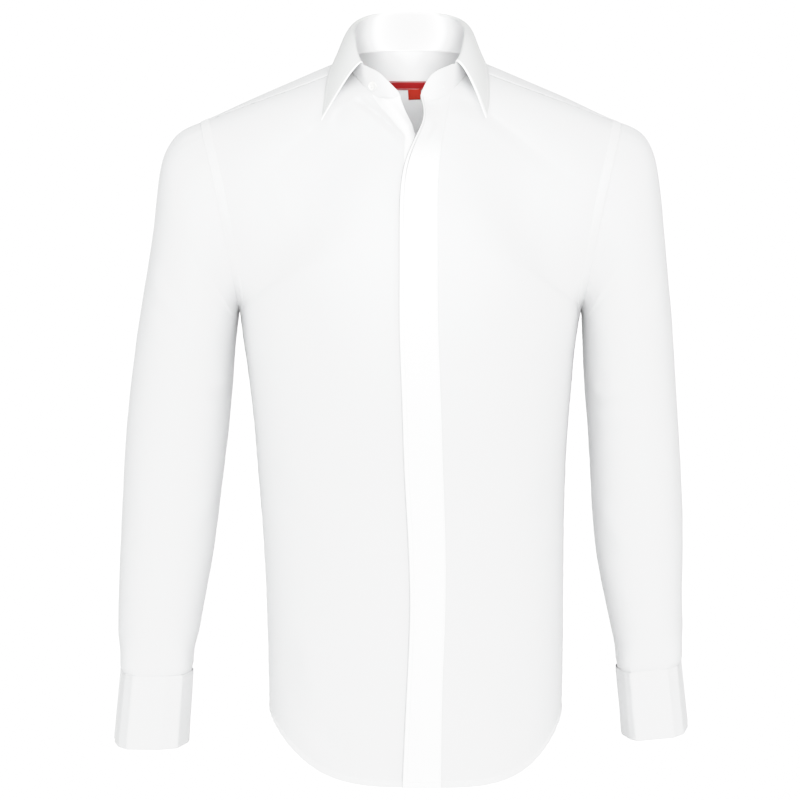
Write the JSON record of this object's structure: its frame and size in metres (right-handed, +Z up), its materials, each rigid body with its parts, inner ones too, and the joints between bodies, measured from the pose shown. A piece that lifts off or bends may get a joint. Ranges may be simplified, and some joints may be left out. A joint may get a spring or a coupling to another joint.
{
  "type": "long sleeve dress shirt",
  "caption": "Filled-out long sleeve dress shirt with an open point collar, concealed button fly, turned-back double cuffs, curved shirt-tail hem and a bare red neck label.",
  "frame": {"origin": "mid neck at the height of the neck point of the shoulder seams, inside the collar stand, where the garment is held", "axes": "+Z up from hem to collar, +Y from the front to the back, +X towards the wearer's left sleeve"},
  "size_m": [0.6015, 0.2482, 0.8238],
  "materials": {
    "white_cotton": "fine white poplin, matt with a slight sheen",
    "white_cotton_fly": "fine white poplin, doubled, pressed",
    "white_cotton_fused": "fine white poplin over a fused interlining, pressed",
    "label_red": "dark red woven ribbon, bare",
    "tab_red": "orange red woven ribbon, bare",
    "button_white": "pearly white, four-hole"
  },
  "bodies": {
    "root": {"front_left": "white_cotton", "front_right": "white_cotton", "back": "white_cotton", "yoke": "white_cotton", "placket_left": "white_cotton_fly", "placket_right": "white_cotton_fly", "sleeve_left": "white_cotton", "sleeve_right": "white_cotton", "gauntlet_left": "white_cotton", "gauntlet_right": "white_cotton", "cuff_left": "white_cotton_fused", "cuff_right": "white_cotton_fused", "collar_stand": "white_cotton_fused", "collar_leaf": "white_cotton_fused", "collar_button": "button_white", "neck_label": "label_red", "size_tab": "tab_red"}
  },
  "joints": []
}
